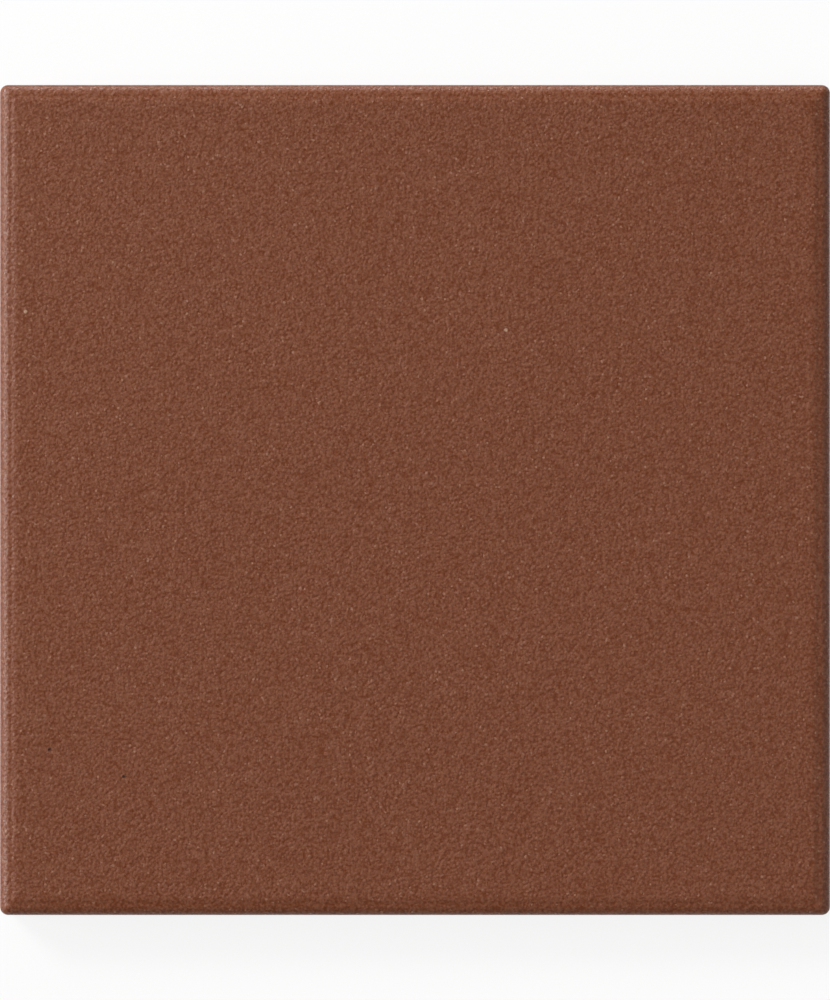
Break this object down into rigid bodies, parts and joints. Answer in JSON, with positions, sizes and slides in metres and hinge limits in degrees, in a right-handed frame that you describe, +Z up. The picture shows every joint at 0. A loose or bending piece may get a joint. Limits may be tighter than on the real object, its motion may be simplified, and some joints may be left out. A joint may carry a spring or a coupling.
{
  "type": "stoneware tile",
  "caption": "Square unglazed red-brown stoneware tile with rounded face edges, tapered lower sides and a waffle back that keys into bedding mortar, for paving floors and facing walls.",
  "frame": {"origin": "middle of the back, on the plane of the ribs that lie on the bed", "axes": "+Z up out of the wearing face, +X and +Y along the sides"},
  "size_m": [0.15, 0.15, 0.011],
  "materials": {
    "stoneware": "satin"
  },
  "bodies": {
    "root": {"stoneware_tile": "stoneware"}
  },
  "joints": []
}
